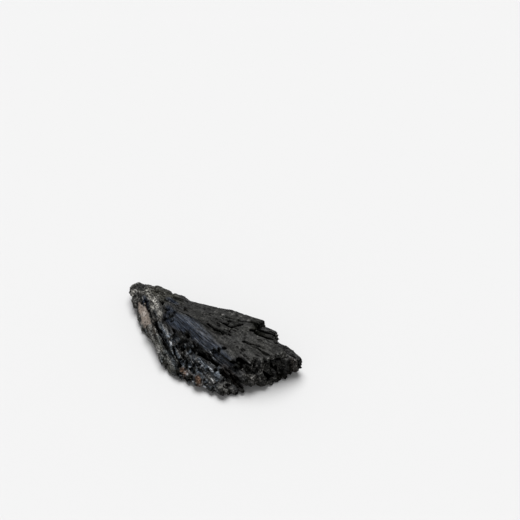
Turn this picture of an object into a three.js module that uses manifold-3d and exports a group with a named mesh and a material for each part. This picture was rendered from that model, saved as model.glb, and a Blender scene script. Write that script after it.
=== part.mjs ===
// A fan of black kyanite, sold as a taramite fan: one natural specimen about 5 cm long. Its blades
// grew side by side from one point, the pole, near the narrow tip, and spread towards a broken end.
// All of it grew together, so it is one solid.
// Lengths are millimetres. While it is built, the pole is at x 0, y 0 and the blades run out along +X.
// At the end the whole fan is moved so that the origin is at the bottom centre of its bounding box.
import * as THREE from "three";
import { mergeVertices } from "three/addons/utils/BufferGeometryUtils.js";
import Module from "manifold-3d";

const wasm = await Module();
wasm.setup();

// ---------------------------------------------------------------- driving dimensions

const CLEAVAGE = 0.1; // height of the flat cleavage that the fan rests on
const OVERLAP = 1.2; // how much wider a blade is than its share of its bundle
const BLUNT = 0.22; // the bevel of a blade whose bundle gives none
const UNEVEN = 0.28; // how far the line between two blades strays, as a share of a blade
const CORNER_WOBBLE = 0.06; // how far a blade's corner strays, as a share of the blade's size
const DEEPEST_CHIP = 0.5; // the most that a blade's broken top edge is knocked back
const LEAN = 0.7; // how far a blade's top tips to one side, as a share of its bundle's step

// Each bundle is a sheaf of blades side by side, between a low side (towards -Y) and a high side.
// A side runs from its inner end to its outer end, each written [reach, angle, top]. floors is the
// height of the underside at the two ends. step is how far the tops differ from blade to blade,
// ragged how far the outer ends do, and bevel how sharp the blades' upper edges are.
const BUNDLES = [
  // the broad base that the fan lies on, with a flat cleavage underneath
  {
    low: [[5, -40, 2.2], [21, -29, 1.8]],
    high: [[5, 0, 3.5], [33, -9, 3]],
    blades: 4, floors: [0, 0], step: 0.2, ragged: 1.2,
  },
  {
    low: [[8, -8, 3.4], [38, -8, 3]],
    high: [[8, 20, 4], [37, 15, 5]],
    blades: 4, floors: [0, 0], step: 0.2, ragged: 1.2,
  },
  // the narrow neck behind the plate, up to the tip
  {
    low: [[-2.4, -30, 4.0], [13, -26, 5.4]],
    high: [[-2.0, 30, 4.6], [16, 14, 7.8]],
    blades: 4, floors: [0.9, 0.5], step: 0.3, ragged: 1.2,
  },
  {
    low: [[2, 20, 6.0], [15, 12, 8.2]],
    high: [[2.2, 60, 5.4], [17, 18.6, 7.4]],
    blades: 2, floors: [1, 1], step: 0.2, ragged: 0.8,
  },
  // the plate, the broad smooth top of the fan, which reaches further out on its low side
  {
    low: [[13, -7, 8.6], [37, -2.2, 8.6]],
    high: [[12, 16, 7.8], [36, 16, 9.0]],
    blades: 6, floors: [3, 5], step: 0.08, ragged: 0.4, bevel: 0.03,
  },
  {
    low: [[31, -1.8, 8.7], [38.6, -0.6, 8.5]],
    high: [[31, 14, 9.0], [46.6, 12.8, 8.8]],
    blades: 5, floors: [5, 5], step: 0.08, ragged: 0.9, bevel: 0.03,
  },
  // a thinner sheet that rises out of the upper half of the plate and ends in a ledge
  {
    low: [[16, 3, 8.3], [29.5, 4.6, 9.3]],
    high: [[14, 18, 7.8], [31, 17, 9.4]],
    blades: 4, floors: [5, 6], step: 0.1, ragged: 1.4, bevel: 0.05,
  },
  // the rim along the high side of the plate, with its lower layers down the back
  {
    low: [[15, 13.0, 8.5], [35.4, 15.2, 9.1]],
    high: [[15, 20.0, 7.8], [36.8, 22.4, 8.2]],
    blades: 3, floors: [3, 4], step: 0.1, ragged: 0.4, bevel: 0.12,
  },
  {
    low: [[11, 18, 5.4], [33, 17.0, 6.4]],
    high: [[12, 22.6, 4.6], [34.6, 21.4, 5.6]],
    blades: 2, floors: [1.2, 2], step: 0.3, ragged: 1.4,
  },
  {
    low: [[9, 16, 3.2], [34, 15.6, 3.8]],
    high: [[10, 24, 2.6], [37, 19.6, 3.0]],
    blades: 2, floors: [0.4, 0.6], step: 0.3, ragged: 1.4,
  },
  // lower blades, left bare where a piece of the rim broke away
  {
    low: [[26, 14.4, 7.6], [42.0, 14.6, 7.0]],
    high: [[26, 22.4, 6.6], [40.2, 21.4, 6.2]],
    blades: 3, floors: [1.6, 1.2], step: 0.35, ragged: 0.4,
  },
  // a slab on the plate beside that gap
  {
    low: [[34.8, 8.2, 9.4], [45.0, 8.6, 9.3]],
    high: [[34.5, 14.0, 9.4], [46.6, 12.6, 9.0]],
    blades: 2, floors: [6, 6], step: 0.06, ragged: 0.7, bevel: 0.04,
  },
  // the rim beyond the gap, dipping towards the far corner
  {
    low: [[33, 10.5, 7.6], [48.6, 11.6, 7.0]],
    high: [[33, 18.4, 6.6], [50.0, 16.4, 5.2]],
    blades: 4, floors: [2, 0.8], step: 0.3, ragged: 0.8,
  },
  // the broken end, in layers under the overhanging plate
  {
    low: [[30, -2, 7.0], [40.4, 1, 6.6]],
    high: [[30, 14, 7.2], [47.2, 14, 5.8]],
    blades: 7, floors: [1.2, 2.6], step: 0.6, ragged: 1.1,
  },
  {
    low: [[30, 0, 4.4], [42.6, 3.0, 4.2]],
    high: [[30, 14, 4.4], [48.4, 14.2, 3.8]],
    blades: 7, floors: [0.3, 0.8], step: 0.6, ragged: 1.0,
  },
  {
    low: [[30, 1, 2.0], [44.6, 3.8, 1.8]],
    high: [[30, 14, 2.0], [48.4, 13.6, 1.6]],
    blades: 5, floors: [0, 0], step: 0.4, ragged: 0.9,
  },
  // the crest along the low side of the plate, sinking to a point
  {
    low: [[12, -13, 7.8], [28, -8.6, 6.2]],
    high: [[12, -6, 8.8], [31.6, -3.6, 8.0]],
    blades: 3, floors: [3, 2.4], step: 0.1, ragged: 1.4, bevel: 0.08,
  },
  {
    low: [[22, -7.0, 7.4], [36, -5.4, 4.8]],
    high: [[22, -2.6, 9.2], [39, -2.4, 6.8]],
    blades: 3, floors: [3, 1.5], step: 0.12, ragged: 0.9, bevel: 0.08,
  },
  {
    low: [[30, -5.0, 7.4], [42.6, -3.8, 1.4]],
    high: [[30, -2.8, 7.6], [42.8, -2.8, 1.6]],
    blades: 1, floors: [1.5, 0.4], step: 0, ragged: 0.1,
  },
  // the smooth slope below the crest, broken off a third of the way out
  {
    low: [[8, -24, 6.0], [20.4, -19.4, 5.2]],
    high: [[11, -10, 8.0], [25, -6, 7.6]],
    blades: 5, floors: [1, 2.4], step: 0.15, ragged: 1.3, bevel: 0.06,
  },
  // long thin blades on from the slope, with dark gaps between them
  {
    low: [[18, -14.4, 6.4], [31, -11.4, 3.8]],
    high: [[18, -6.4, 7.8], [36, -5.6, 4.8]],
    blades: 4, floors: [1, 1], step: 0.3, ragged: 1.6, bevel: 0.3,
  },
  // the stump below the crest, with a hackly end
  {
    low: [[20, -17, 5.0], [36, -13, 2.6]],
    high: [[22, -5, 5.0], [41.2, -4.6, 3.4]],
    blades: 5, floors: [0.3, 0.6], step: 0.5, ragged: 1.0,
  },
  {
    low: [[22, -15, 2.2], [37.4, -12.4, 1.6]],
    high: [[22, -5, 2.4], [42.0, -5.2, 1.8]],
    blades: 5, floors: [0, 0.1], step: 0.4, ragged: 0.9,
  },
  // separate fingers on the low side
  {
    low: [[12, -14.2, 5.4], [34.2, -15.0, 2.8]],
    high: [[12, -12.0, 5.8], [34.2, -13.2, 3.2]],
    blades: 1, floors: [0.3, 0.1], step: 0.1, ragged: 0.2,
  },
  {
    low: [[11, -18, 5.2], [31.6, -18.2, 2.4]],
    high: [[11, -15.6, 5.6], [31.6, -16.4, 3.0]],
    blades: 1, floors: [0.4, 0.1], step: 0.1, ragged: 0.2,
  },
  {
    low: [[11, -23, 3.6], [28.0, -23.0, 1.8]],
    high: [[11, -21, 3.8], [28.0, -21.4, 2.2]],
    blades: 1, floors: [0.4, 0.1], step: 0.1, ragged: 0.2,
  },
  // the light crest of the low side
  {
    low: [[5.6, -30, 5.2], [27.2, -20.8, 3.2]],
    high: [[6, -18, 6.4], [28.6, -17.6, 4.2]],
    blades: 2, floors: [0.6, 0.2], step: 0.25, ragged: 0.8,
  },
  // the flank blade at the low edge
  {
    low: [[10.8, -36, 2.4], [23.2, -30, 1.6]],
    high: [[10.8, -26, 4.4], [25.4, -25.6, 3.0]],
    blades: 2, floors: [0.4, 0.2], step: 0.15, ragged: 0.6,
  },
  // the pale block set in the low side of the neck
  {
    low: [[5.2, -52, 3.4], [11.6, -38.4, 2.6]],
    high: [[5.0, -26, 4.9], [11.2, -27, 4.4]],
    blades: 1, floors: [0.8, 0.5], step: 0.05, ragged: 0.3, bevel: 0.3,
  },
];

// Lumps that grew on the blades. at is [reach, angle, height] of a lump's middle, size is its
// length, breadth and height, turn is the angle it points along, and rough is how uneven it is.
const GRAINS = [
  // the rounded tip
  { at: [0.8, -64, 3.0], size: [6.8, 4.8, 4.8], turn: -12 },
  { at: [2.8, -54, 2.5], size: [5.6, 3.8, 4.2], turn: -50 },
  { at: [2.2, 20, 4.4], size: [4.6, 3.6, 3.0], turn: 20, rough: 0.18 },
  // the smooth strip along the high side of the neck
  { at: [7.2, 25, 5.2], size: [7.0, 3.0, 3.6], turn: 12, rough: 0.14 },
  { at: [13.0, 18, 6.8], size: [6.6, 2.6, 2.8], turn: 10, rough: 0.14 },
  // the light crust on the neck
  { at: [4.8, -14, 5.0], size: [4.6, 4.0, 2.4], turn: -20, rough: 0.2 },
  { at: [7.6, 2, 6.2], size: [4.6, 3.0, 2.2], turn: 10, rough: 0.2 },
  { at: [8.8, -14, 6.2], size: [5.4, 3.6, 2.4], turn: -10, rough: 0.2 },
  { at: [12.2, -14, 7.2], size: [4.0, 3.0, 2.0], turn: -20, rough: 0.2 },
  { at: [12.6, -2, 7.8], size: [4.6, 3.2, 1.8], turn: 0, rough: 0.2 },
  // the rounded lumps at the foot of the broken end
  { at: [39.6, -1.2, 4.0], size: [5.0, 3.6, 4.6], turn: 0 },
  { at: [41.4, 0.8, 3.0], size: [4.6, 3.8, 4.6], turn: 20 },
  { at: [43.4, 3.4, 2.4], size: [3.6, 3.2, 4.2], turn: 20, rough: 0.18 },
  // the lumpy back of the flank blade
  { at: [14.0, -29.6, 2.6], size: [7.4, 2.8, 3.6], rough: 0.14 },
  { at: [18.6, -28.4, 2.4], size: [8.0, 3.2, 3.8], rough: 0.14 },
  { at: [22.4, -26.8, 1.9], size: [5.4, 3.2, 3.4], rough: 0.16 },
  // knobs where the low side has crumbled, the middle ones stained with rust
  { at: [26.0, -23.8, 1.5], size: [5.0, 2.4, 2.8], rough: 0.24 },
  { at: [28.6, -20.9, 1.7], size: [3.6, 3.2, 3.4], rough: 0.24 },
  { at: [30.4, -18.0, 1.3], size: [4.8, 2.4, 2.4], rough: 0.24 },
  { at: [33.0, -15.3, 1.8], size: [4.0, 3.4, 3.4], rough: 0.24 },
  { at: [36.0, -12.8, 1.3], size: [4.6, 2.6, 2.4], rough: 0.24 },
  { at: [38.6, -9.6, 1.8], size: [5.0, 2.4, 3.0], rough: 0.24 },
  // the far side of the tip, and the striped hollow of the neck
  { at: [3.2, 50, 2.5], size: [6.2, 3.2, 3.6], turn: 24 },
  { at: [10.2, 9, 6.3], size: [6.6, 3.6, 2.4], turn: 8 },
];

// Angular hollows, written as the lumps are.
const PITS = [
  // holes where the slope breaks off
  { at: [22.4, -8.4, 7.8], size: [2.4, 1.5, 3.4] },
  { at: [23.4, -16.4, 5.6], size: [3.6, 1.3, 3.4] },
  { at: [26.6, -18.0, 3.6], size: [3.0, 1.2, 3.0] },
  { at: [29.4, -13.6, 5.0], size: [4.0, 1.5, 4.6] },
  { at: [31.6, -11.2, 4.4], size: [3.4, 1.0, 2.8] },
  { at: [19.4, -25.2, 4.2], size: [3.6, 0.9, 2.6] },
  // chips out of the plate
  { at: [33.0, -1.4, 9.4], size: [1.6, 0.8, 1.2] },
  { at: [26.6, 4.2, 9.4], size: [2.6, 0.6, 1.2] },
  { at: [29.2, 4.8, 9.5], size: [1.8, 0.7, 1.2] },
  { at: [38.4, 7.4, 9.4], size: [4.2, 0.35, 1.0] },
];

// ---------------------------------------------------------------- chance, the same at every run

const CHANCE_RANGE = 2 ** 32;
let chanceState = 20;

function chance() {
  chanceState = (chanceState * 1664525 + 1013904223) % CHANCE_RANGE;
  return chanceState / CHANCE_RANGE;
}

const spread = (amount) => (chance() * 2 - 1) * amount;
const mix = THREE.MathUtils.lerp;

// ---------------------------------------------------------------- solids

function solidOf(geometry) {
  geometry.deleteAttribute("normal");
  geometry.deleteAttribute("uv");
  const merged = mergeVertices(geometry, 1e-4);
  return new wasm.Manifold(
    new wasm.Mesh({
      numProp: 3,
      vertProperties: merged.attributes.position.array,
      triVerts: new Uint32Array(merged.index.array),
    }),
  );
}

function geometryOf(solid) {
  const mesh = solid.getMesh();
  const positions = new Float32Array(mesh.numVert * 3);
  for (let i = 0; i < mesh.numVert; i++) {
    const start = i * mesh.numProp;
    positions.set(mesh.vertProperties.subarray(start, start + 3), i * 3);
  }
  return new THREE.BufferGeometry()
    .setAttribute("position", new THREE.BufferAttribute(positions, 3))
    .setIndex(new THREE.BufferAttribute(mesh.triVerts, 1));
}

const atPolar = (reach, angle) =>
  new THREE.Vector2(
    reach * Math.cos(THREE.MathUtils.degToRad(angle)),
    reach * Math.sin(THREE.MathUtils.degToRad(angle)),
  );

// One crystal blade: a tapered prism between two polar points, each { reach, angle, width, top,
// tilt, floor }, where tilt is how much higher its high side is than its middle. bevel is the share
// of the half width that its upper edges lose. The outer end is broken: it slants to one side, and
// its top edge is knocked back by chip. lean tips the whole top to one side.
function blade({ inner, outer, bevel, chip, lean }) {
  const start = atPolar(inner.reach, inner.angle);
  const end = atPolar(outer.reach, outer.angle);
  const along = end.clone().sub(start).normalize();
  const across = new THREE.Vector2(-along.y, along.x);
  const shoulder = Math.max(0.5, 1 - (2 * chip) / start.distanceTo(end));
  const stations = [
    { at: 0, wide: 0.8, high: 0.9, push: 0 },
    { at: shoulder, wide: 1, high: 1, push: 0 },
    { at: 1, wide: 0.88, high: 0.9, push: chip },
  ];
  const section = [
    [-0.8, 0],
    [0.8, 0],
    [1, 0.5],
    [1 - bevel, 1],
    [bevel - 1, 1],
    [-1, 0.5],
  ];
  const slant = spread(chip);
  const positions = [];
  for (const { at, wide, high, push } of stations) {
    const centre = start.clone().lerp(end, at);
    const half = (mix(inner.width, outer.width, at) / 2) * wide;
    const floor = mix(inner.floor, outer.floor, at);
    const height = (mix(inner.top, outer.top, at) - floor) * high;
    const tip = mix(inner.tilt, outer.tilt, at) + lean;
    for (const [side, level] of section) {
      const aside = half * side * (1 + spread(CORNER_WOBBLE));
      const lift = level ? Math.min(height, half) * spread(CORNER_WOBBLE) + side * tip * level : 0;
      const back = push ? slant * side - push * level : 0;
      positions.push(
        centre.x + across.x * aside + along.x * back,
        centre.y + across.y * aside + along.y * back,
        floor + level * height + lift,
      );
    }
  }
  return solidOf(loft(positions, stations.length, section.length));
}

// A closed skin over rings of points, each ring with the same number of them, and its two ends.
function loft(positions, rings, count) {
  const faces = [];
  for (let r = 0; r + 1 < rings; r++) {
    for (let i = 0; i < count; i++) {
      const a = r * count + i;
      const b = r * count + ((i + 1) % count);
      faces.push(a, b, a + count, b, b + count, a + count);
    }
  }
  const last = (rings - 1) * count;
  for (let i = 1; i + 1 < count; i++) {
    faces.push(0, i + 1, i, last, last + i, last + i + 1);
  }
  return new THREE.BufferGeometry()
    .setAttribute("position", new THREE.Float32BufferAttribute(positions, 3))
    .setIndex(faces);
}

// One lump, or the solid that cuts a hollow: a jittered icosahedron, stretched and turned about Z.
function grain({ at, size, turn = at[1], detail = 1, rough = 0.12 }) {
  const ball = new THREE.IcosahedronGeometry(1, detail);
  ball.deleteAttribute("normal");
  ball.deleteAttribute("uv");
  const shape = mergeVertices(ball, 1e-4);
  const points = shape.attributes.position;
  for (let i = 0; i < points.count; i++) {
    const p = new THREE.Vector3().fromBufferAttribute(points, i);
    p.multiplyScalar(1 + spread(rough));
    points.setXYZ(i, p.x, p.y, p.z);
  }
  shape.scale(size[0] / 2, size[1] / 2, size[2] / 2);
  shape.rotateZ(THREE.MathUtils.degToRad(turn));
  const place = atPolar(at[0], at[1]);
  shape.translate(place.x, place.y, at[2]);
  return solidOf(shape);
}

// ---------------------------------------------------------------- bundles of blades

// The ends of a blade that takes the given share of a bundle, counted from its low side.
function bladeEnd(bundle, end, share, lift, stray) {
  const [low, high] = [bundle.low[end], bundle.high[end]];
  const breadth = atPolar(low[0], low[1]).distanceTo(atPolar(high[0], high[1]));
  const middle = (share[0] + share[1]) / 2;
  return {
    reach: mix(low[0], high[0], middle) + stray,
    angle: mix(low[1], high[1], middle),
    width: breadth * (share[1] - share[0]) * OVERLAP,
    top: mix(low[2], high[2], middle) + lift,
    tilt: ((high[2] - low[2]) * (share[1] - share[0])) / 2,
    floor: bundle.floors[end],
  };
}

function bladesOf(bundle) {
  const lines = [];
  for (let i = 0; i <= bundle.blades; i++) {
    const stray = i > 0 && i < bundle.blades ? spread(UNEVEN) : 0;
    lines.push((i + stray) / bundle.blades);
  }
  const made = [];
  for (let i = 0; i < bundle.blades; i++) {
    const share = [lines[i], lines[i + 1]];
    const lift = spread(bundle.step);
    made.push(
      blade({
        inner: bladeEnd(bundle, 0, share, lift, 0),
        outer: bladeEnd(bundle, 1, share, lift, spread(bundle.ragged)),
        bevel: (bundle.bevel ?? BLUNT) * (1 + spread(0.5)),
        chip: Math.min(DEEPEST_CHIP, bundle.ragged / 2),
        lean: spread(bundle.step * LEAN),
      }),
    );
  }
  return made;
}

// ---------------------------------------------------------------- the fan

const pieces = [...BUNDLES.flatMap(bladesOf), ...GRAINS.map(grain)];
const joined = pieces.reduce((whole, piece) => whole.add(piece));
const hollows = PITS.map((pit) => grain({ ...pit, detail: 0 }));
const carved = hollows
  .reduce((whole, hollow) => whole.subtract(hollow), joined)
  .trimByPlane([0, 0, 1], CLEAVAGE);

// Gaps sealed between the blades are filled with stone: only the outer skin is kept.
const [skin, ...apart] = carved.decompose().filter((body) => body.volume() > 0);
if (apart.length) throw new Error(`${apart.length} pieces of the fan stand apart from it`);

const shape = geometryOf(skin);
shape.computeBoundingBox();
const { min, max } = shape.boundingBox;

const kyanite = new THREE.MeshStandardMaterial({ color: 0x2c2d30, roughness: 0.6, metalness: 0 });
const specimen = new THREE.Mesh(shape, kyanite);
specimen.name = "fan";
specimen.position.set(-(min.x + max.x) / 2, -(min.y + max.y) / 2, -min.z);

const fan = new THREE.Group();
fan.add(specimen);

export default fan;
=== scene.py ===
import itertools
import math

import bpy
import numpy as np
from mathutils import Matrix, Vector


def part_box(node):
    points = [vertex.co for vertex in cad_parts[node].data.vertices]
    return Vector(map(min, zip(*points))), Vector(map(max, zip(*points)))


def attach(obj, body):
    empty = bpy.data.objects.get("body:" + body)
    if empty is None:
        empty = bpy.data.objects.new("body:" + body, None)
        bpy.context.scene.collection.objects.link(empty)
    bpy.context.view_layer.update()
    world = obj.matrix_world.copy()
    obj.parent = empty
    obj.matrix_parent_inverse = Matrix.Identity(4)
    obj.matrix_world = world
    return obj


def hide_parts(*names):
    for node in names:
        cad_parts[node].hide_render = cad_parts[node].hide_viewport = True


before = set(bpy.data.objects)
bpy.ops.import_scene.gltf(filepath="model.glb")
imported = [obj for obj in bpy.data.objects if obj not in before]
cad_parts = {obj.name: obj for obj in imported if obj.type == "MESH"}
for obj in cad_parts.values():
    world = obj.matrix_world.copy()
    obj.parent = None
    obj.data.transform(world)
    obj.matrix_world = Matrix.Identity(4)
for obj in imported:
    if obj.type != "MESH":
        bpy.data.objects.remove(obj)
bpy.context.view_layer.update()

# The fan of black kyanite is shaped in millimetres, in the pole's frame: its blades spread from the
# pole, near the narrow tip, and run out along +X. A place, seen from above, is written as its
# (reach, angle) from the pole, in millimetres and degrees.
MM = 0.001
POLE_IN_BOX = (3.280, 12.110)  # the pole, from the lowest corner of the fan's box


# ------------------------------------------------------------------ chance and noise

def hashed(cells, salt):
    """A number from 0 to 1 for each row of whole numbers, the same at every run."""
    keys = cells.astype(np.int64)
    mixed = keys[:, 0] * 73856093 ^ keys[:, 1] * 19349663 ^ keys[:, 2] * 83492791 ^ salt * 2654435761
    for _ in range(2):
        mixed &= 0xFFFFFFFF
        mixed = (mixed ^ (mixed >> 16)) * 0x45D9F3B
    mixed &= 0xFFFFFFFF
    return (mixed ^ (mixed >> 16)) / 2**32


def smooth_noise(points, size, salt):
    """Smooth noise from -1 to 1, with lumps of about the given size."""
    scaled = points / size
    base = np.floor(scaled)
    part = scaled - base
    part = part * part * (3 - 2 * part)
    total = np.zeros(len(points))
    for corner in itertools.product((0, 1), repeat=3):
        weight = np.prod(np.where(corner, part, 1 - part), axis=1)
        total += weight * hashed(base + corner, salt)
    return total * 2 - 1


def layered(kind, points, size, salt, layers=3):
    """A kind of noise with finer and fainter noise of the same kind on top of it."""
    total = np.zeros(len(points))
    for layer in range(layers):
        total += kind(points, np.array(size) / 2**layer, salt + layer) / 2**layer
    return total / (2 - 0.5 ** (layers - 1))


def lumps(points, size, salt):
    """Rounded lumps with sharp creases between them, around 0 on the whole."""
    return np.abs(smooth_noise(points, size, salt)) * 2 - 0.6


def warped(points, size, amount, salt):
    """The points, pushed about by smooth noise, so that a pattern laid over them is less even."""
    push = np.stack([smooth_noise(points, size, salt + axis) for axis in range(3)], axis=1)
    return points + amount * push


def cells(points, size, salt):
    """For each point: how deep it lies inside its cell of a stone-like pattern, as a share of the
    cell, and a number from 0 to 1 that its whole cell shares."""
    scaled = points / size
    base = np.floor(scaled)
    nearest = np.full(len(points), 9.0)
    second = nearest.copy()
    share = np.zeros(len(points))
    for step in itertools.product((-1, 0, 1), repeat=3):
        cell = base + step
        seed = cell + np.stack([hashed(cell, salt + axis) for axis in range(3)], axis=1)
        distance = np.linalg.norm(scaled - seed, axis=1)
        closer = distance < nearest
        second = np.where(closer, nearest, np.minimum(second, distance))
        share = np.where(closer, hashed(cell, salt + 3), share)
        nearest = np.where(closer, distance, nearest)
    return second - nearest, share


def ramp(values, low, high):
    """A smooth step, from 0 at low to 1 at high."""
    share = np.clip((values - low) / (high - low), 0, 1)
    return share * share * (3 - 2 * share)


# ------------------------------------------------------------------ places on the fan

def at_polar(reach, angle):
    """The (x, y) of a place."""
    turn = math.radians(angle)
    return np.array([reach * math.cos(turn), reach * math.sin(turn)])


def polar(points):
    """(reach, angle in degrees) of each point."""
    return np.hypot(points[:, 0], points[:, 1]), np.degrees(np.arctan2(points[:, 1], points[:, 0]))


NEEDLE_REACH = 26.0  # the reach where a needle has the width that its size says


def along_needles(points):
    """Coordinates whose first axis goes across the needles and whose last runs along them."""
    reach, angle = polar(points)
    return np.stack([np.radians(angle) * NEEDLE_REACH, points[:, 2], reach], axis=1)


def patch(points, at, size, turn=None, soft=0.6, square=False):
    """Seen from above, 1 inside an oval or square place (its length and breadth are size) and 0
    outside it. It points along its angle, or along turn, and soft is how much of it the fading
    edge takes."""
    turn = math.radians(at[1] if turn is None else turn)
    away = points[:, :2] - at_polar(*at)
    along = away[:, 0] * math.cos(turn) + away[:, 1] * math.sin(turn)
    across = away[:, 1] * math.cos(turn) - away[:, 0] * math.sin(turn)
    along, across = np.abs(along) / (size[0] / 2), np.abs(across) / (size[1] / 2)
    distance = np.maximum(along, across) if square else np.hypot(along, across)
    return 1 - ramp(distance, 1 - soft, 1)


def streak(points, start, end, width):
    """Seen from above, 1 on the line between two places and 0 from half a width away from it."""
    first, last = at_polar(*start), at_polar(*end)
    line = last - first
    away = points[:, :2] - first
    share = np.clip(away @ line / (line @ line), 0, 1)
    distance = np.linalg.norm(away - share[:, None] * line, axis=1)
    return 1 - ramp(distance, 0, width / 2)


# ------------------------------------------------------------------ meshes

def points_of(mesh):
    points = np.empty(len(mesh.vertices) * 3)
    mesh.vertices.foreach_get("co", points)
    return points.reshape(-1, 3)


def move_points(mesh, points):
    mesh.vertices.foreach_set("co", points.ravel())
    mesh.update()


def normals_of(mesh):
    normals = np.empty(len(mesh.vertices) * 3)
    mesh.vertices.foreach_get("normal", normals)
    return normals.reshape(-1, 3)


def with_modifier(mesh, kind, **settings):
    """A new mesh: the given one with one modifier applied. The given one stays as it is."""
    holder = bpy.data.objects.new("holder", mesh)
    bpy.context.scene.collection.objects.link(holder)
    modifier = holder.modifiers.new(kind, kind)
    for name, value in settings.items():
        setattr(modifier, name, value)
    seen = holder.evaluated_get(bpy.context.evaluated_depsgraph_get())
    made = bpy.data.meshes.new_from_object(seen)
    bpy.data.objects.remove(holder)
    return made


def skin_over(mesh, size):
    """The mesh's outer skin, remade in even faces of the given size."""
    return with_modifier(mesh, "REMESH", mode="VOXEL", voxel_size=size)


def softened(mesh, rounds):
    """The mesh with its edges and creases rounded, more so with more rounds."""
    return with_modifier(mesh, "SMOOTH", iterations=rounds, factor=0.5)


def relief(mesh, rounds, depth):
    """How far each point stands out of the softened mesh, as a share of depth: from -1 in creases
    to 1 on sharp edges."""
    out = np.sum((points_of(mesh) - points_of(softened(mesh, rounds))) * normals_of(mesh), axis=1)
    return np.clip(out / depth, -1, 1)


# ------------------------------------------------------------------ the kinds of surface

def ray_at(points):
    """The direction, level and away from the pole, that the blades run in at each point."""
    reach = np.maximum(np.hypot(points[:, 0], points[:, 1]), 0.001)
    return np.stack([points[:, 0] / reach, points[:, 1] / reach, np.zeros(len(points))], axis=1)


def end_facing(points, normals):
    """1 where the surface faces out along the blades, as their broken ends do, and 0 elsewhere."""
    facing = np.sum(ray_at(points) * normals, axis=1)
    return ramp(facing, 0.3, 0.75) * ramp(np.hypot(points[:, 0], points[:, 1]), 14, 20)


def resting(points, normals):
    """1 on the flat cleavage that the fan lies on, and 0 from a little above it."""
    return (1 - ramp(points[:, 2], 0.1, 0.6)) * ramp(-normals[:, 2], 0.2, 0.7)


def facing_up(normals):
    return ramp(normals[:, 2], 0.3, 0.7)


SILK_REACHES = (12, 16, 20, 26, 33, 39)
SILK_LOW = (-16, -15, -10.5, -7, -5.5, -4.5)  # the angle of its low side at those reaches
SILK_HIGH = (-4, 0, 3, 2, -0.5, -1.8)  # and of its high side
PLATE_HEIGHTS = (6.0, 7.0)  # the plate begins between these heights
CRUST_END = (9.5, 15)  # the crust ends between these distances along the fan
STUMP = ((38.5, -8.5), (11, 8))  # (place, (length, breadth)): the broken low corner
NOSE = ((49.4, 13.2), (6, 7))  # the far corner of the broken end
PLATE_BREAK = ((41.5, 0), (46.6, 11.0), 5.4)  # (start, end, width): the crumbled last of the plate
BLOCK_FACE = ((9.3, -34.6), (6.7, 2.4))
BLOCK_FACE_TURN = -28
BLOCK_TOP = ((5.6, -42), (2.6, 1.5))  # the upper end of the pale block
BLOCK_TOP_TURN = -40


def below_silk(points):
    """How many degrees each point lies below the silky crest."""
    reach, angle = polar(points)
    return np.interp(reach, SILK_REACHES, SILK_LOW) - angle


def silk_share(points, normals):
    """1 on the silky crest, which gets a painted blue sheen, and on the slope below it, and 0 elsewhere."""
    uneven = warped(points, 2.5, 0.5, 401)
    reach, angle = polar(uneven)
    high = np.interp(reach, SILK_REACHES, SILK_HIGH)
    across = ramp(-below_silk(uneven), -1, 2) * ramp(high - angle, -1.5, 2.5)
    along = ramp(reach, 12, 15) * (1 - ramp(reach, 37, 41))
    return facing_up(normals) * across * along * ramp(points[:, 2], 3.2, 4.2)


def plate_share(points, normals):
    """1 on the broad top plate, and 0 elsewhere."""
    reach, angle = polar(points)
    high = facing_up(normals) * ramp(points[:, 2], *PLATE_HEIGHTS)
    top = high * ramp(reach, 14, 18) * ramp(angle, -4, -2)
    return top * (1 - silk_share(points, normals)) * (1 - crumbled_share(points))


def crust_share(points):
    """1 on the crusted neck and tip, less on their far side, and 0 elsewhere."""
    uneven = warped(points, 4.0, 1.6, 407)
    along = 1 - ramp(uneven[:, 0] + 0.3 * np.abs(uneven[:, 1] + 1), *CRUST_END)
    far_side = ramp(uneven[:, 0], 1, 4) * ramp(uneven[:, 1], 0, 2)
    return along * (1 - 0.6 * far_side) * (1 - block_share(points))


def crumbled_share(points):
    """1 on the low side of the fan, on the broken slope above it, on its stump and along the broken
    end, and 0 elsewhere."""
    reach, _ = polar(points)
    low_side = ramp(below_silk(points), 1, 6) * ramp(reach, 9, 13)
    stump = patch(points, *STUMP)
    last_of_plate = streak(points, *PLATE_BREAK)
    nose = patch(points, *NOSE)
    return np.maximum.reduce([low_side, stump, last_of_plate, nose])


def block_share(points):
    """1 on the pale block in the low side of the neck, and 0 elsewhere."""
    uneven = warped(points, 1.5, 0.25, 301)
    face = patch(uneven, *BLOCK_FACE, turn=BLOCK_FACE_TURN, soft=0.12, square=True)
    top = patch(uneven, *BLOCK_TOP, turn=BLOCK_TOP_TURN, soft=0.2)
    return np.maximum(face, top) * ramp(uneven[:, 2], 1.2, 1.6)


def gap_share(points):
    """1 in the dark gaps between the shreds of the broken slope, and 0 elsewhere."""
    reach, angle = polar(points)
    shreds = along_needles(warped(points, 1.8, 0.7, 431))
    gaps = 1 - ramp(layered(lumps, shreds, (1.7, 4.0, 4.6), 435, layers=2), -0.35, 0.0)
    gaps *= ramp(smooth_noise(points, 3.2, 438), -0.2, 0.25)
    across = ramp(below_silk(points), -0.5, 1.0) * (1 - ramp(-angle, 22, 26))
    return gaps * across * ramp(reach, 16, 20) * (1 - ramp(reach, 36, 39))


class Kinds:
    """How much each point belongs to each kind of surface, from 0 to 1."""

    def __init__(self, points, normals):
        self.plate = plate_share(points, normals)
        self.silk = silk_share(points, normals)
        self.crust = crust_share(points)
        self.crumbled = crumbled_share(points)
        self.gaps = gap_share(points)
        self.block = block_share(points)
        self.end = end_facing(points, normals)
        self.free = 1 - resting(points, normals)


# ------------------------------------------------------------------ the shape of the stone

COARSE_VOXEL = 0.22
FINE_VOXEL = 0.15
MOST_TRIANGLES = 195_000
SHARP = math.radians(40)
SILK_LINE = 0.62  # the distance between two fine lines of the crest

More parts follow.
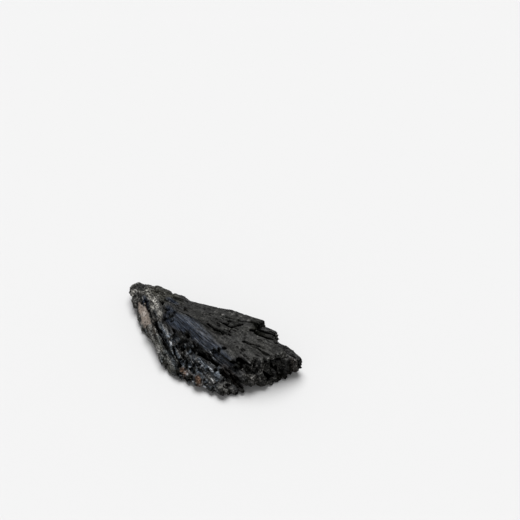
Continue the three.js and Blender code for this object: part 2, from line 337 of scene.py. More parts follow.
# How far the relief stands out, in millimetres.
SWELL = 0.3
BLADE_STEP = 0.42
CRUST_LUMP = 0.28
CRUST_RIDGE = 0.34
SHRED = 0.4
END_LUMP = 0.9
END_STEP = 1.2
NEEDLE_END_STEP = 0.24

GROOVES = [  # (start, end, width, depth): dark cuts, seen from above
    # beside the lower blades, where the rim broke away
    ((35.4, 14.6), (40.9, 16.4), 0.9, 1.1),
    ((35.2, 18.0), (40.8, 19.4), 0.8, 1.0),
    # along the slab, and between the stripes of the rim beyond the gap
    ((35.0, 8.0), (41.0, 9.4), 0.55, 0.5),
    ((41.8, 17.0), (47.7, 16.4), 0.4, 0.5),
    ((42.4, 15.4), (48.6, 14.9), 0.4, 0.5),
    # the seam of the rim
    ((27.0, 14.6), (31.9, 17.2), 0.6, 0.4),
    ((31.9, 17.2), (35.7, 19.8), 0.6, 0.5),
    # the ledges of the thin sheet
    ((24.4, 5.1), (26.8, 4.9), 0.8, 0.6),
    ((26.8, 4.9), (29.4, 6.0), 0.9, 0.8),
    ((27.6, 10.9), (29.7, 11.1), 0.9, 0.7),
    ((29.7, 11.1), (32.1, 15.8), 0.8, 0.7),
    # fine lines along the crest, and the long grooves below it
    ((25.0, -5.8), (34.0, -4.0), 0.3, 0.3),
    ((22.0, -2.6), (32.0, -2.6), 0.3, 0.25),
    ((20.0, -7.0), (27.0, -5.4), 0.3, 0.3),
    ((30.2, -6.0), (35.0, -5.3), 0.4, 0.5),
    ((28.0, -8.6), (33.8, -5.8), 1.1, 1.6),
    ((35.8, -4.8), (42.8, -3.0), 0.6, 1.5),
    # beside the flank and the pale block
    ((12.9, -23.0), (16.4, -22.0), 0.7, 0.8),
    ((22.0, -19.6), (27.6, -19.6), 0.7, 0.8),
    ((5.4, -27.0), (11.8, -26.2), 0.7, 0.8),
    # across the neck
    ((9.2, 3.4), (13.5, 3.9), 0.5, 0.5),
    ((6.6, -17.0), (9.0, -17.0), 0.5, 0.4),
    ((12.4, -9.0), (13.4, -6.0), 0.6, 0.5),
]

HOLLOWS = [  # (place, (length, breadth), depth): pits and chips, seen from above
    ((22.3, -8.2), (3.2, 2.0), 0.8),
    ((23.8, -7.0), (1.8, 1.1), 0.5),
    ((20.8, -11.0), (2.8, 1.4), 0.6),
    ((23.4, -14.6), (4.0, 1.9), 1.0),
    ((24.6, -11.6), (2.6, 1.4), 0.7),
    ((28.0, -8.0), (2.8, 1.2), 0.7),
    ((18.6, -14.4), (2.0, 1.2), 0.5),
    ((19.6, -22.4), (7.0, 1.6), 1.0),
    ((13.6, -24.6), (3.4, 1.3), 0.7),
    ((16.1, 7.1), (1.8, 1.0), 0.4),
    ((16.2, -9.8), (1.5, 0.9), 0.5),
    ((14.6, -9.8), (1.5, 3.6), 0.6),
    ((14.9, -4.8), (1.8, 1.6), 0.5),
    ((31.9, -1.9), (1.7, 1.2), 0.8),
    ((32.9, -0.3), (2.0, 1.3), 1.0),
    ((12.4, -35.0), (1.8, 1.4), 1.0),
    ((29.4, -14.0), (3.2, 1.6), 1.1),
    ((31.8, -12.4), (2.0, 1.0), 0.8),
    ((36.2, -6.0), (3.0, 1.4), 1.2),
    ((6.2, -27.0), (5.4, 1.4), 0.6),
    ((9.0, -3.0), (3.4, 1.0), 0.4),
]

SHIFTED = [  # (place, (length, breadth), (x, y)): parts that lie further over, seen from above
    ((50.0, 16.8), (9, 8), (-0.1, -0.8)),
    ((44.0, 17.8), (10, 6), (0.0, 0.8)),
    ((24.0, 21.0), (32, 7), (-0.1, 0.45)),
    ((19.0, -30.5), (17, 5), (0.3, 0.8)),
    ((8.6, -45.0), (8, 4), (-0.6, -0.5)),
    ((12.6, -36.5), (5, 4), (-0.2, -0.5)),
    ((36.5, -15.0), (10, 5), (0.0, 0.7)),
    ((1.0, 150), (7, 7), (-0.4, 0.6)),
    ((7.0, 26), (7, 4), (0.0, -0.6)),
    ((11.0, 21), (6, 4), (0.1, -0.5)),
]

CAVES = [  # ((angle, height), (breadth, height), depth): dark hollows, seen from the broken end
    ((0.2, 7.4), (4.6, 1.5), 1.6),
    ((8.6, 7.0), (4.2, 1.6), 2.0),
    ((8.6, 4.6), (1.1, 3.8), 1.5),
    ((6.0, 2.6), (2.6, 2.0), 1.2),
    ((9.4, 3.0), (1.1, 2.6), 1.1),
    ((12.4, 4.4), (0.8, 3.6), 1.0),
    ((3.2, 5.4), (1.1, 2.4), 1.1),
]

FAR_CORNER = ((49.6, 15.6), (8, 8))  # (place, (length, breadth)) of the corner that overhangs its foot
OVERHANG = 1.6


def groove_depth(points):
    """How deep the grooves are at each point, seen from above."""
    wavy = warped(points, 1.4, 0.22, 201)
    return np.maximum.reduce([deep * streak(wavy, start, end, width) for start, end, width, deep in GROOVES])


def hollow_depth(points):
    """How deep the hollows are at each point, seen from above. Grains stand up in them."""
    jagged = warped(warped(points, 2.2, 0.7, 205), 0.7, 0.45, 207)
    depth = np.maximum.reduce([deep * patch(jagged, at, size, soft=1) for at, size, deep in HOLLOWS])
    return depth * (0.4 + 0.9 * ramp(layered(smooth_noise, points, 1.3, 271), -0.3, 0.3))


def cave_depth(points):
    """How deep the caves of the broken end are at each point, seen from that end."""
    jagged = warped(points, 1.0, 0.5, 209)
    reach, angle = polar(jagged)
    depth = np.zeros(len(points))
    for (direction, height), (breadth, tall), deep in CAVES:
        across = np.radians(angle - direction) * reach / (breadth / 2)
        distance = np.hypot(across, (jagged[:, 2] - height) / (tall / 2))
        depth = np.maximum(depth, deep * (1 - ramp(distance, 0.3, 1)))
    return depth * ramp(reach, 33, 36) * ramp(points[:, 2], 0.6, 1.6)


def broken_back(points, size, salt):
    """A number from about -0.5 to 0.5 for each point, much the same all along one blade: how much
    further out than its neighbours the blade ends. The heads of the blades are rounded."""
    columns = along_needles(points)
    columns[:, 2] = 0
    inside, chance = cells(columns, size, salt)
    return (chance - 0.5) * (0.25 + 0.75 * ramp(inside, 0, 0.5))


def away_from_ground(points, least):
    """From the given number at the foot of the stone to 1 a little above it."""
    return least + (1 - least) * ramp(points[:, 2], 0.4, 2.8)


def coarse_relief(points, kinds):
    """How far the blades, the lumps of the crust and the broken slope and end stand out."""
    needles = along_needles(warped(points, 4.0, 0.4, 11))
    _, blade = cells(needles, (2.4, 0.9, 15.0), 21)
    bladed = (1 - 0.78 * np.maximum(kinds.plate, kinds.silk)) * (1 - 0.7 * kinds.crust) * (1 - kinds.block)
    crusty = kinds.crust * (0.35 + 0.65 * ramp(points[:, 0], 1, 7))
    crumbled = kinds.crumbled * away_from_ground(points, 0.3)
    out = SWELL * smooth_noise(points, 5.0, 41) * (1 - 0.6 * kinds.block)
    out += BLADE_STEP * (blade - 0.5) * bladed
    out += CRUST_LUMP * layered(lumps, warped(points, 2.5, 0.7, 51), (2.6, 2.2, 2.0), 61) * crusty
    out += CRUST_RIDGE * layered(lumps, warped(needles, 2.5, 0.9, 55), (4.4, 1.6, 4.2), 65) * crusty
    out += SHRED * layered(lumps, warped(needles, 2.5, 0.7, 71), (1.7, 1.3, 5.0), 81) * crumbled
    out *= 1 - kinds.end
    return out + END_LUMP * layered(lumps, warped(points, 2.2, 0.8, 91), (2.6, 2.6, 2.2), 101) * kinds.end


def end_shift(points, kinds):
    """How far each point moves out along the blades, so that they end unevenly, with caves."""
    reach, _ = polar(points)
    uneven_ends = broken_back(warped(points, 2.0, 1.0, 31), (1.7, 1.5, 1.0), 34)
    along = END_STEP * (1 - 0.5 * kinds.crumbled) * uneven_ends * away_from_ground(points, 0.3) - 0.1
    along = along * ramp(reach, 28, 36) - cave_depth(points) * kinds.end
    overhung = patch(points, *FAR_CORNER, soft=1) * (1 - ramp(points[:, 2], 0.7, 2.8))
    return along - OVERHANG * overhung


def shape_coarsely(mesh):
    """Breaks the straight blades up: uneven sides, blades of finite length and ragged ends."""
    points = points_of(mesh)
    normals = normals_of(mesh)
    kinds = Kinds(points, normals)
    out = coarse_relief(points, kinds) * kinds.free
    along = end_shift(points, kinds)
    moved = points + normals * out[:, None] + ray_at(points) * along[:, None]
    moved[:, 2] -= (groove_depth(points) + hollow_depth(points)) * ramp(normals[:, 2], 0.1, 0.5)
    for at, size, shift in SHIFTED:
        moved[:, :2] += patch(points, at, size, soft=1)[:, None] * np.array(shift)
    move_points(mesh, moved)


def needle_relief(needles, kinds):
    """Needles of two sizes, each standing out by its own amount, with creases between them."""
    share = (1 - 0.75 * kinds.plate) * (1 - 0.85 * kinds.silk) * (1 - 0.8 * kinds.crust)
    share *= (1 - 0.5 * kinds.crumbled) * (1 - kinds.block)
    out = np.zeros(len(needles))
    for size, height, salt in (((1.1, 0.45, 8.0), 0.2, 121), ((0.5, 0.3, 3.6), 0.12, 131)):
        inside, lift = cells(needles, size, salt)
        out += share * height * (lift - 0.5 - 0.4 * (1 - ramp(inside, 0, 0.22)))
    return out


def grain_relief(points, wavy, needles, kinds):
    """Grains and shards on the crust, on the broken slope and on the broken ends."""
    patchy = 0.6 + 0.5 * smooth_noise(points, 2.4, 141)
    crumbled = kinds.crumbled * away_from_ground(points, 0.4)
    out = 0.2 * patchy * layered(lumps, wavy, 0.9, 151) * kinds.crust
    out += 0.24 * patchy * layered(lumps, needles, (0.8, 0.7, 2.4), 161) * crumbled
    out += 0.36 * layered(lumps, wavy, 0.9, 241) * kinds.end
    _, shard = cells(wavy, (0.8, 0.7, 0.6), 171)
    sharp = np.maximum.reduce([0.8 * kinds.crust, crumbled, kinds.end])
    out += 0.22 * (shard - 0.5) * ramp(smooth_noise(points, 3.0, 181), 0, 0.5) * sharp
    return out - 0.35 * kinds.gaps


def flat_relief(points, wavy, needles, kinds):
    """The faint relief of the plate, of the silky crest and of the pale block, and short slits."""
    out = 0.05 * layered(smooth_noise, needles, (0.5, 0.5, 1.2), 191) * kinds.plate
    out -= 0.06 * ramp(np.sin(needles[:, 0] * 2 * math.pi / SILK_LINE), 0.1, 0.9) * kinds.silk
    out += 0.16 * layered(smooth_noise, points, 1.6, 221) * kinds.block
    out += 0.1 * layered(lumps, wavy, 1.2, 225) * kinds.block
    inside, chosen = cells(needles, (0.4, 0.5, 2.0), 211)
    slits = ramp(chosen, 0.84, 0.88) * ramp(inside, 0.05, 0.3)
    return out - 0.17 * slits * (1 - 0.6 * kinds.silk) * (1 - kinds.block)


def shape_finely(mesh):
    """Adds the needles, the creases between them, the grains and small pits."""
    points = points_of(mesh)
    normals = normals_of(mesh)
    wavy = warped(points, 1.6, 0.35, 111)
    needles = along_needles(wavy)
    kinds = Kinds(points, normals)
    out = needle_relief(needles, kinds)
    out += grain_relief(points, wavy, needles, kinds)
    out += flat_relief(points, wavy, needles, kinds)
    reach, _ = polar(points)
    along = NEEDLE_END_STEP * broken_back(wavy, (0.5, 0.5, 1.0), 231) * ramp(reach, 24, 32)
    moved = points + normals * (out * kinds.free)[:, None] + ray_at(points) * along[:, None]
    move_points(mesh, moved)


def in_pole_frame(mesh, pole):
    """Turns a mesh from metres in the row frame to millimetres from the pole."""
    mesh.transform(Matrix.Scale(1 / MM, 4) @ Matrix.Translation(-pole))


def back_in_row_frame(mesh, pole):
    mesh.transform(Matrix.Translation(pole) @ Matrix.Scale(MM, 4))


def thinned(mesh, most):
    triangles = sum(len(face.vertices) - 2 for face in mesh.polygons)
    return with_modifier(mesh, "DECIMATE", ratio=min(1, most / triangles))


def stone_mesh(pole):
    """The skin of the whole stone, in millimetres from the pole. It keeps inside the fan's box."""
    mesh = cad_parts["fan"].data.copy()
    mesh.materials.clear()
    in_pole_frame(mesh, pole)
    low, high = points_of(mesh).min(axis=0), points_of(mesh).max(axis=0)
    mesh = skin_over(mesh, COARSE_VOXEL)
    shape_coarsely(mesh)
    mesh = softened(skin_over(mesh, FINE_VOXEL), 5)
    shape_finely(mesh)
    mesh = thinned(mesh, MOST_TRIANGLES)
    move_points(mesh, np.clip(points_of(mesh), low, high))
    return mesh


def pole_place():
    low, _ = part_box("fan")
    return Vector((low[0] + POLE_IN_BOX[0] * MM, low[1] + POLE_IN_BOX[1] * MM, low[2]))


# ------------------------------------------------------------------ the colours of the stone

BLACK = (0.009, 0.0091, 0.0089)
PLATE_GREY = (0.0094, 0.0093, 0.0078)
SLAB_GREY = (0.0175, 0.0173, 0.015)
# painted sheen and shade: a dark blue-grey that stands for the silky crest's blue sheen, and for the shade in
# the slate hollows of the crust
BLUE_SHEEN_AND_SHADE = (0.0125, 0.0188, 0.0312)
# painted sheen: the steel-blue shine on the shreds of the broken slope
STEEL_SHEEN = (0.08, 0.098, 0.121)
# painted highlight: the silver of faces that catch the light
PAINTED_GLINT = (0.46, 0.485, 0.52)
# black grains, and painted shade on the broken ends, in the hollows and in the gaps
GRAIN_AND_SHADE_BLACK = (0.005, 0.005, 0.0038)
CRUST_GREY = (0.061, 0.06, 0.055)
CRUST_LIGHT = (0.29, 0.28, 0.255)
OLIVE = (0.032, 0.0315, 0.024)
BLOCK_BEIGE = (0.19, 0.158, 0.134)
BLOCK_LIGHT = (0.32, 0.285, 0.255)
RUST = (0.135, 0.081, 0.054)
BROWN = (0.034, 0.025, 0.019)
PALE_GREY = (0.19, 0.185, 0.175)

# A spot is (place, (length, breadth)), and a band is (start, end, width), seen from above.
TIP_CAP = ((0.2, 150), (5.4, 2.8))  # the dark, flattened top of the tip
TIP_CAP_TURN = 45
SLAB = ((40.5, 9.5), (12, 5))  # the slab of the plate, slightly lighter
GREY_STUMP = ((40, -8.5), (9, 8))  # where the low side gets no painted steel-blue sheen
FAR_NECK = ((8.5, 12), (15, 5.5))
FAR_NECK_TURN = 10
FLANK = ((12, -33), (27, -25.5), 7.0)
FAR_RIM = ((22, 17), (36, 21.5), 3.2)

PALE_RIDGES = [  # bands: the pale ridges of the crust, which fork from the tip
    ((2.6, -110), (2.2, -40), 1.6),
    ((2.2, -40), (2.8, 16), 1.5),
    ((2.4, 0), (7.6, -9), 2.2),
    ((7.6, -9), (13.0, -18), 2.0),
]

RUSTY = [  # spots: stains of rust
    ((29.2, -19.6), (3.6, 2.4)),
    ((33.8, -15.9), (3.8, 2.2)),
]

BROWNISH = [  # stone that is slightly brown
    ((24.4, -15.4), (5.0, 3.0)),
    ((36.2, -5.0), (4.0, 3.0)),
    ((38.5, -4.0), (8.0, 1.6)),
    ((14.0, -29.0), (8.0, 5.0)),
    ((31.0, -17.5), (5.0, 3.0)),
    ((43.4, 1.0), (4.0, 2.6)),
    ((48.6, 13.0), (3.0, 3.0)),
]

PALE = [  # the lightest of the crust
    ((2.4, -95), (4.0, 1.5)),
    ((7.6, -11.4), (2.8, 1.7)),
    ((9.4, -20.6), (2.2, 1.3)),
    ((13.0, -18.6), (3.0, 2.0)),
    ((15.8, -30.2), (3.4, 0.9)),
]

SLATE_SHADE = [  # spots: hollows in the crust, in painted dark bluish shade
    ((5.9, -27.5), (6.5, 2.4)),
    ((13.6, -6.0), (5.0, 2.6)),
    ((11.4, 8.0), (6.0, 2.2)),
]

SHADED_HOLLOWS = [  # broken hollows that hardly any light gets out of, painted black as shade
    ((22.4, -8.2), (4.0, 2.6)),
    ((23.6, -14.4), (4.6, 2.4)),
    ((24.6, -11.6), (3.0, 1.8)),
    ((20.8, -11.0), (2.6, 1.6)),
    ((28.2, -8.2), (3.6, 1.6)),
    ((30.2, -15.4), (4.0, 2.0)),
    ((28.4, -22.6), (3.4, 2.2)),
    ((19.6, -22.4), (8.0, 1.7)),
    ((15.0, -7.4), (2.0, 4.4)),
    ((16.1, 7.1), (2.2, 1.2)),
    ((11.4, 3.6), (5.0, 1.0)),
    ((12.9, -10.4), (2.0, 1.4)),
    ((12.4, -35.6), (1.8, 1.4)),
    ((31.4, -18.4), (2.4, 2.2)),
    ((28.2, -16.8), (3.4, 1.6)),
    ((27.2, -20.4), (2.6, 2.4)),
    ((46.4, 9.4), (2.6, 4.0)),
    ((48.4, 12.0), (1.8, 2.0)),
    ((31.6, -21.2), (3.0, 2.0)),
    ((31.9, -1.9), (1.5, 1.1)),
    ((32.9, -0.3), (1.8, 1.2)),
    ((38.6, -6.2), (3.2, 1.4)),
    ((40.4, -7.6), (1.6, 1.4)),
    ((37.4, 16.8), (8.4, 4.2)),
    ((34.2, 18.9), (4.2, 1.8)),
    ((35.8, 16.2), (3.0, 3.6)),
]

LIGHT = [  # pale grey patches and ridges
    ((10.6, -14.6), (1.8, 1.3)),
    ((16.4, -18.0), (5.0, 1.2)),
    ((20.6, -19.1), (3.6, 0.9)),
    ((25.6, -20.4), (4.0, 0.9)),
    ((14.5, -30.6), (8.0, 1.4)),
    ((20.6, -29.0), (4.6, 1.6)),
    ((39.4, -8.6), (3.4, 1.8)),
    ((43.5, 4.5), (2.0, 2.6)),
    ((42.8, 1.0), (2.2, 1.8)),
    ((26.1, 15.9), (1.4, 1.1)),
    ((30.1, 20.2), (1.4, 1.1)),
]

GLINTING_FACES = [  # faces that catch the light: glossier, with a painted silver highlight
    ((33.2, -8.8), (3.6, 0.8)),
    ((33.7, -12.0), (3.6, 1.0)),
    ((35.2, -14.6), (3.0, 1.0)),
    ((31.4, -5.1), (5.0, 0.5)),
    ((20.6, -19.2), (1.8, 0.7)),
    ((31.0, -10.8), (2.6, 0.6)),
]


def shade(points, small, broad):
    """How much of the light reaches each point: much less in creases, hollows and grooves."""
    creases = np.clip(1 + 1.0 * np.minimum(small, 0) + 0.6 * np.minimum(broad, 0), 0.08, 1)
    grooved = 0.93 * ramp(np.maximum(groove_depth(points), cave_depth(points)), 0.1, 0.45)
    hollow = 0.85 * ramp(hollow_depth(points), 0.15, 0.7)
    return creases * (1 - np.maximum(grooved, hollow))


def flecks(points, salt):
    """1 on small grains strewn about, and 0 between them."""
    inside, chosen = cells(warped(points, 1, 0.3, salt), 0.55, salt + 10)
    return ramp(chosen, 0.84, 0.88) * ramp(inside, 0.0, 0.2)


def patches(points, places):
    """1 inside any of the places, and 0 outside them all."""
    return np.maximum.reduce([patch(points, at, size, soft=0.8) for at, size in places])


def blend(colours, colour, share):
    """The colours, mixed with one more colour by a share for each point."""
    share = np.clip(share, 0, 1)[:, None]
    return colours * (1 - share) + np.array(colour) * share


def crust_light_share(points):
    """1 along the pale ridges of the crust, and 0 away from them."""
    uneven = warped(points, 1.6, 0.5, 405)
    return np.maximum.reduce([streak(uneven, *ridge) for ridge in PALE_RIDGES])


def cracks(points):
    """From 1 on dark cracks between the needles to -1 on light scratches, and mostly around 0."""
    needles = along_needles(warped(points, 1.5, 0.25, 421))
    lines = layered(smooth_noise, needles, (0.5, 0.5, 4.0), 425, layers=2)
    return ramp(lines, 0.2, 0.45) - ramp(-lines, 0.25, 0.5)


def blade_colours(points, kinds, mottle, streaks):
    """The black blades, their grey top plate and their silky crest, with the crest's blue sheen painted on.
    """
    colours = np.tile(np.array(BLACK), (len(points), 1)) * (1 + 0.5 * streaks)[:, None]
    colours = blend(colours, PLATE_GREY, kinds.plate * (0.75 + 0.5 * mottle))
    colours *= (1 - 0.6 * kinds.plate * cracks(points))[:, None]
    colours = blend(colours, SLAB_GREY, 0.8 * kinds.plate * patch(points, *SLAB))
    # painted sheen: the crest's blue sheen, as a bluish tint of its colour
    return blend(colours, BLUE_SHEEN_AND_SHADE, kinds.silk * (0.8 + 0.4 * streaks))


def with_crust(colours, points, kinds, mottle, streaks, bluish):
    """Adds the painted steel-blue sheen of the slope's shreds, the grey crust, and the crust's pale places,
    dark tip and hollows in painted bluish shade.
    """
    # painted sheen: steel-blue streaks on the shreds of the broken slope
    steely_sheen = kinds.crumbled * bluish * ramp(0.7 * streaks + 0.5 * mottle, -0.3, 0.25)
    dusty = 0.6 * kinds.crumbled * (1 - bluish) * ramp(mottle, -0.2, 0.4)
    far_neck = patch(points, *FAR_NECK, turn=FAR_NECK_TURN) * (1 - kinds.silk)
    flank = streak(points, *FLANK) * (1 - kinds.block)
    colours = blend(colours, STEEL_SHEEN, steely_sheen)
    colours = blend(colours, CRUST_GREY, dusty)
    colours = blend(colours, CRUST_GREY, kinds.crust * (0.6 + 0.9 * mottle))
    colours = blend(colours, OLIVE, 0.8 * far_neck)
    colours = blend(colours, CRUST_LIGHT, crust_light_share(points) * (0.45 + 0.7 * mottle))
    # painted shade: the slate hollows of the crust darkened to a bluish grey
    colours = blend(colours, BLUE_SHEEN_AND_SHADE, patches(points, SLATE_SHADE) * (0.9 + 0.6 * streaks))
    colours = blend(colours, CRUST_LIGHT, patches(points, PALE) * (0.75 + 0.6 * mottle))
    colours = blend(colours, BLACK, 0.85 * patch(points, *TIP_CAP, turn=TIP_CAP_TURN, soft=0.5))
    return blend(colours, OLIVE, flank * (0.9 + 0.7 * mottle))


def with_stains(colours, points, mottle):
    """Adds the brown and pale places of the blades."""
    colours = blend(colours, BROWN, patches(points, BROWNISH) * (0.6 + 0.5 * mottle))
    return blend(colours, PALE_GREY, patches(points, LIGHT) * (0.6 + 0.8 * mottle))


def with_hollows(colours, points, kinds, mottle):
    """Adds painted shade, in black, to the broken hollows and the gaps, and the rust beside them."""
    # painted shade: black in the broken hollows and in the gaps between the shreds
    colours = blend(colours, GRAIN_AND_SHADE_BLACK, patches(points, SHADED_HOLLOWS) * (1 + 0.8 * mottle))
    colours = blend(colours, GRAIN_AND_SHADE_BLACK, 0.7 * kinds.gaps)
    return blend(colours, RUST, patches(points, RUSTY) * (0.8 + 0.8 * mottle))


def with_flecks(colours, points, kinds):
    """Strews pale and black grains about, most of all on the crust and on broken stone."""
    far_rim = 0.8 * streak(points, *FAR_RIM)
    speckled = np.maximum.reduce([kinds.crust, kinds.crumbled, 0.5 * kinds.end, far_rim])
    speckled *= 1 - kinds.block
    colours = blend(colours, PALE_GREY, 0.5 * flecks(points, 351) * (0.2 + 0.8 * speckled))
    colours = blend(colours, GRAIN_AND_SHADE_BLACK, 0.9 * flecks(points, 381) * (0.15 + 0.85 * speckled))
    return blend(colours, BROWN, 0.7 * kinds.block * flecks(points, 391))


def stone_colours(points, kinds, small, shaded):
    """The colour of each point, with painted shade, sheen and highlights, before the finest grain."""
    mottle = layered(smooth_noise, warped(points, 2, 0.6, 301), 1.6, 311, layers=4)
    streaks = layered(smooth_noise, along_needles(points), (0.7, 0.7, 6.0), 321)
    _, angle = polar(points)
    # the low side, where the steel-blue sheen is painted
    bluish = ramp(-angle, 1, 5) * (1 - patch(points, *GREY_STUMP))

    colours = blade_colours(points, kinds, mottle, streaks)
    colours = with_crust(colours, points, kinds, mottle, streaks, bluish)
    colours = with_stains(colours, points, mottle)
    # painted shade: the broken ends, which face away from the lamp, darkened
    colours = blend(colours, GRAIN_AND_SHADE_BLACK, 0.8 * kinds.end)
    colours = blend(colours, CRUST_GREY, 0.5 * kinds.end * (1 - bluish) * ramp(mottle, -0.1, 0.4))
    # partly wear and partly painted highlight: sharp edges of the crust, the broken slope and the ends made
    # paler
    rubbed_and_lit = 0.2 * kinds.crust + 0.2 * kinds.crumbled + 0.15 * kinds.end
    colours = blend(colours, PALE_GREY, np.clip(small, 0, 1) * rubbed_and_lit * ramp(mottle, -0.1, 0.5))
    colours = with_hollows(colours, points, kinds, mottle)
    colours = blend(colours, BLOCK_BEIGE, kinds.block)
    colours = blend(colours, BLOCK_LIGHT, kinds.block * ramp(mottle, 0, 0.6))
    colours = with_flecks(colours, points, kinds) * shaded[:, None]
    # painted highlight: silver glints on the faces that catch the light, laid over the shade
    return blend(colours, PAINTED_GLINT, patches(points, GLINTING_FACES) * ramp(streaks, -0.2, 0.3) * ramp(small, -0.6, 0.4))


def stone_gloss(points, kinds, shaded):
    """How strongly each point mirrors the light: 0 is dull and 1 is a bright cleavage face."""
    streaks = layered(smooth_noise, along_needles(points), (0.6, 0.6, 5.0), 331)
    gloss = 0.24 + 0.1 * streaks - 0.06 * kinds.plate
    gloss += kinds.silk * (0.02 + 0.11 * streaks)
    _, angle = polar(points)
    gloss += kinds.crumbled * (0.15 + 0.45 * ramp(-angle, 1, 5)) * ramp(streaks, 0.05, 0.5)
    gloss += patches(points, GLINTING_FACES) * 0.7
    gloss -= 0.16 * kinds.end + 0.14 * kinds.crust
    gloss *= 1 - 0.8 * np.maximum(patches(points, RUSTY + SHADED_HOLLOWS), kinds.gaps)
    return np.clip(gloss * shaded, 0, 1)


def add_number(mesh, name, values):
    mesh.attributes.new(name, "FLOAT", "POINT").data.foreach_set("value", values.astype(np.float32))


def hair_share(kinds):
    """1 where fine needles show, and 0 where the stone is grainy instead."""
    grainy = np.maximum.reduce([kinds.crust, kinds.block, 0.6 * kinds.crumbled])
    return (1 - grainy) * (1 - 0.4 * kinds.plate)


SMALL_RELIEF = (8, 0.1)  # (rounds of softening, depth): the scale of single grains and needles
BROAD_RELIEF = (60, 0.4)  # the scale of blades and lumps


def paint(mesh):
    """Stores on each point what the stone's material needs to know about it."""
    points = points_of(mesh)
    kinds = Kinds(points, normals_of(mesh))
    small = relief(mesh, *SMALL_RELIEF)
    broad = relief(mesh, *BROAD_RELIEF)
    shaded = shade(points, small, broad)
    colours = stone_colours(points, kinds, small, shaded)
    opaque = np.ones((len(points), 1))
    tint = mesh.attributes.new("tint", "FLOAT_COLOR", "POINT")
    tint.data.foreach_set("color", np.hstack([colours, opaque]).astype(np.float32).ravel())
    needles = mesh.attributes.new("needles", "FLOAT_VECTOR", "POINT")
    needles.data.foreach_set("vector", along_needles(points).astype(np.float32).ravel())
    add_number(mesh, "gloss", stone_gloss(points, kinds, shaded))
    add_number(mesh, "hairy", hair_share(kinds))
    add_number(mesh, "plain", 0.7 * kinds.block)


# ------------------------------------------------------------------ materials

def plain_material(name, colour, roughness):
    material = bpy.data.materials.new(name)
    material.use_nodes = True
    shader = material.node_tree.nodes["Principled BSDF"]
    shader.inputs["Base Color"].default_value = (*colour, 1)
    shader.inputs["Roughness"].default_value = roughness
    return material


def attribute(tree, name):
    node = tree.nodes.new("ShaderNodeAttribute")
    node.attribute_name = name
    return node.outputs


def noise(tree, place, scale, stretch=(1, 1, 1), detail=3):
    """Noise over a place output. scale is lumps to the unit, and stretch makes them longer."""
    mapping = tree.nodes.new("ShaderNodeMapping")
    mapping.inputs["Scale"].default_value = [1 / length for length in stretch]
    tree.links.new(place, mapping.inputs["Vector"])
    texture = tree.nodes.new("ShaderNodeTexNoise")
    texture.inputs["Scale"].default_value = scale
    texture.inputs["Detail"].default_value = detail
    tree.links.new(mapping.outputs["Vector"], texture.inputs["Vector"])
    return texture.outputs["Fac"]


def ranged(tree, value, low, high):
    """A value that goes from low to high where the given one goes from 0.3 to 0.7."""
    node = tree.nodes.new("ShaderNodeMapRange")
    node.inputs["From Min"].default_value = 0.3
    node.inputs["From Max"].default_value = 0.7
    node.inputs["To Min"].default_value = low
    node.inputs["To Max"].default_value = high
    tree.links.new(value, node.inputs["Value"])
    return node.outputs["Result"]


def multiplied(tree, first, second):
    node = tree.nodes.new("ShaderNodeMath")
    node.operation = "MULTIPLY"
    tree.links.new(first, node.inputs[0])
    tree.links.new(second, node.inputs[1])
    return node.outputs["Value"]


def mixed(tree, first, second, share):
    """The first value with a share of the second one, which may be a plain number."""
    node = tree.nodes.new("ShaderNodeMix")
    tree.links.new(share, node.inputs["Factor"])
    tree.links.new(first, node.inputs["A"])
    if isinstance(second, (int, float)):
        node.inputs["B"].default_value = second
    else:
        tree.links.new(second, node.inputs["B"])
    return node.outputs["Result"]


DULL_ROUGHNESS, BRIGHT_ROUGHNESS = 0.7, 0.26
BUMP_DEPTH = 0.15 * MM
GRAINS_PER_MM = 2.6
HAIRS_PER_MM = 3.0
HAIR_LENGTH = 7  # in hair widths


def add_tint(tree, shader, pattern, grain):
    """The painted colour, made uneven by the pattern and the grain, but less so where it is plain."""
    uneven = multiplied(tree, ranged(tree, pattern, 0.1, 2.0), ranged(tree, grain, 0.3, 1.7))
    strength = mixed(tree, uneven, 1, attribute(tree, "plain")["Fac"])
    scaled = tree.nodes.new("ShaderNodeVectorMath")
    scaled.operation = "SCALE"
    tree.links.new(attribute(tree, "tint")["Color"], scaled.inputs[0])
    tree.links.new(strength, scaled.inputs["Scale"])
    tree.links.new(scaled.outputs["Vector"], shader.inputs["Base Color"])


def add_gloss(tree, shader, pattern):
    """The painted gloss: how smooth the surface is, and how strongly it mirrors the light."""
    gloss = attribute(tree, "gloss")["Fac"]
    rough = tree.nodes.new("ShaderNodeMapRange")
    rough.inputs["To Min"].default_value = DULL_ROUGHNESS
    rough.inputs["To Max"].default_value = BRIGHT_ROUGHNESS
    tree.links.new(gloss, rough.inputs["Value"])
    tree.links.new(rough.outputs["Result"], shader.inputs["Roughness"])
    mirrored = multiplied(tree, gloss, ranged(tree, pattern, 0.25, 1.65))
    tree.links.new(mirrored, shader.inputs["Specular IOR Level"])


def add_bump(tree, shader, pattern):
    bump = tree.nodes.new("ShaderNodeBump")
    bump.inputs["Strength"].default_value = 0.6
    bump.inputs["Distance"].default_value = BUMP_DEPTH
    tree.links.new(pattern, bump.inputs["Height"])
    tree.links.new(bump.outputs["Normal"], shader.inputs["Normal"])


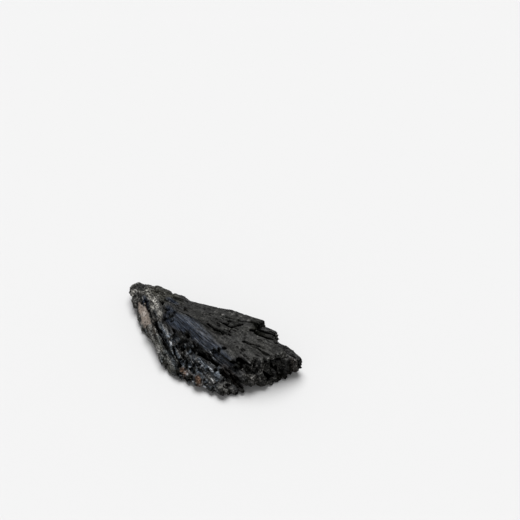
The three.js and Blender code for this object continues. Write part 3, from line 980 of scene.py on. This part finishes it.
def kyanite():
    """Black kyanite: the painted tint and gloss, with the finest grain and needles added to them."""
    material = bpy.data.materials.new("kyanite")
    material.use_nodes = True
    tree = material.node_tree
    shader = tree.nodes["Principled BSDF"]
    place = tree.nodes.new("ShaderNodeTexCoord").outputs["Object"]
    grain = noise(tree, place, GRAINS_PER_MM / MM, detail=4)
    hair = noise(tree, attribute(tree, "needles")["Vector"], HAIRS_PER_MM, stretch=(1, 1, HAIR_LENGTH))
    pattern = mixed(tree, grain, hair, attribute(tree, "hairy")["Fac"])
    add_tint(tree, shader, pattern, grain)
    add_gloss(tree, shader, pattern)
    add_bump(tree, shader, pattern)
    return material


# ------------------------------------------------------------------ the stone

def make_stone(pole):
    mesh = stone_mesh(pole)
    paint(mesh)
    back_in_row_frame(mesh, pole)
    mesh.shade_smooth()
    mesh.set_sharp_from_angle(angle=SHARP)
    mesh.materials.append(kyanite())
    stone = bpy.data.objects.new("kyanite_fan", mesh)
    bpy.context.scene.collection.objects.link(stone)
    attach(stone, "root")
    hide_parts("fan")


# ------------------------------------------------------------------ stage

WHITE = 0.905  # the photo's plain ground
ROOM = 0.24  # the light from the room above, less than that of the pale surroundings low down
ROOM_FROM = (0.2, 0.5)  # the surroundings fade to the room between these heights of direction
LAMP_SHARE = 1.285  # how much light the softbox adds to that of the surroundings
FLOOR_SIZE = 4.0
FLOOR_GREY = 0.62
SOFTBOX_FROM = (-0.56, 0.57, 1.5)


def make_floor():
    mesh = bpy.data.meshes.new("floor")
    half = FLOOR_SIZE / 2
    corners = [(-half, -half, 0), (half, -half, 0), (half, half, 0), (-half, half, 0)]
    mesh.from_pydata(corners, [], [(0, 1, 2, 3)])
    mesh.materials.append(plain_material("paper", (FLOOR_GREY,) * 3, 1.0))
    floor = bpy.data.objects.new("floor", mesh)
    bpy.context.scene.collection.objects.link(floor)


def make_surroundings():
    world = bpy.data.worlds.new("studio")
    world.use_nodes = True
    tree = world.node_tree
    direction = tree.nodes.new("ShaderNodeSeparateXYZ")
    tree.links.new(tree.nodes.new("ShaderNodeTexCoord").outputs["Generated"], direction.inputs["Vector"])
    fade = tree.nodes.new("ShaderNodeMapRange")
    fade.inputs["From Min"].default_value, fade.inputs["From Max"].default_value = ROOM_FROM
    fade.inputs["To Min"].default_value = WHITE
    fade.inputs["To Max"].default_value = ROOM
    tree.links.new(direction.outputs["Z"], fade.inputs["Value"])
    tree.nodes["Background"].inputs["Color"].default_value = (1, 1, 1, 1)
    tree.links.new(fade.outputs["Result"], tree.nodes["Background"].inputs["Strength"])
    bpy.context.scene.world = world


def make_softbox():
    lamp = bpy.data.lights.new("softbox", "SUN")
    lamp.energy = LAMP_SHARE * math.pi
    lamp.angle = math.radians(44)
    softbox = bpy.data.objects.new("softbox", lamp)
    softbox.rotation_euler = Vector(SOFTBOX_FROM).to_track_quat("Z", "Y").to_euler()
    bpy.context.scene.collection.objects.link(softbox)


# ------------------------------------------------------------------ camera

CAMERA_DISTANCE = 0.460
CAMERA_ELEVATION = 50
CAMERA_AZIMUTH = 45
LENS_PIXELS = 1656  # the focal length, in pixels of the photo
PHOTO_WIDTH = 520
SENSOR = 36.0
AIM = (13.347, 32.583)  # where the photo's middle meets the ground, in mm from the pole


def make_camera(pole):
    data = bpy.data.cameras.new("camera")
    data.sensor_width = SENSOR
    data.lens = SENSOR * LENS_PIXELS / PHOTO_WIDTH
    camera = bpy.data.objects.new("camera", data)
    turn, rise = math.radians(CAMERA_AZIMUTH), math.radians(CAMERA_ELEVATION)
    back = Vector((math.sin(turn) * math.cos(rise), -math.cos(turn) * math.cos(rise), math.sin(rise)))
    aim = pole + Vector((AIM[0] * MM, AIM[1] * MM, 0))
    camera.location = aim + back * CAMERA_DISTANCE
    camera.rotation_euler = back.to_track_quat("Z", "Y").to_euler()
    bpy.context.scene.collection.objects.link(camera)
    bpy.context.scene.camera = camera


pole = pole_place()
make_stone(pole)
make_floor()
make_surroundings()
make_softbox()
make_camera(pole)
bpy.context.scene.view_settings.view_transform = "Standard"
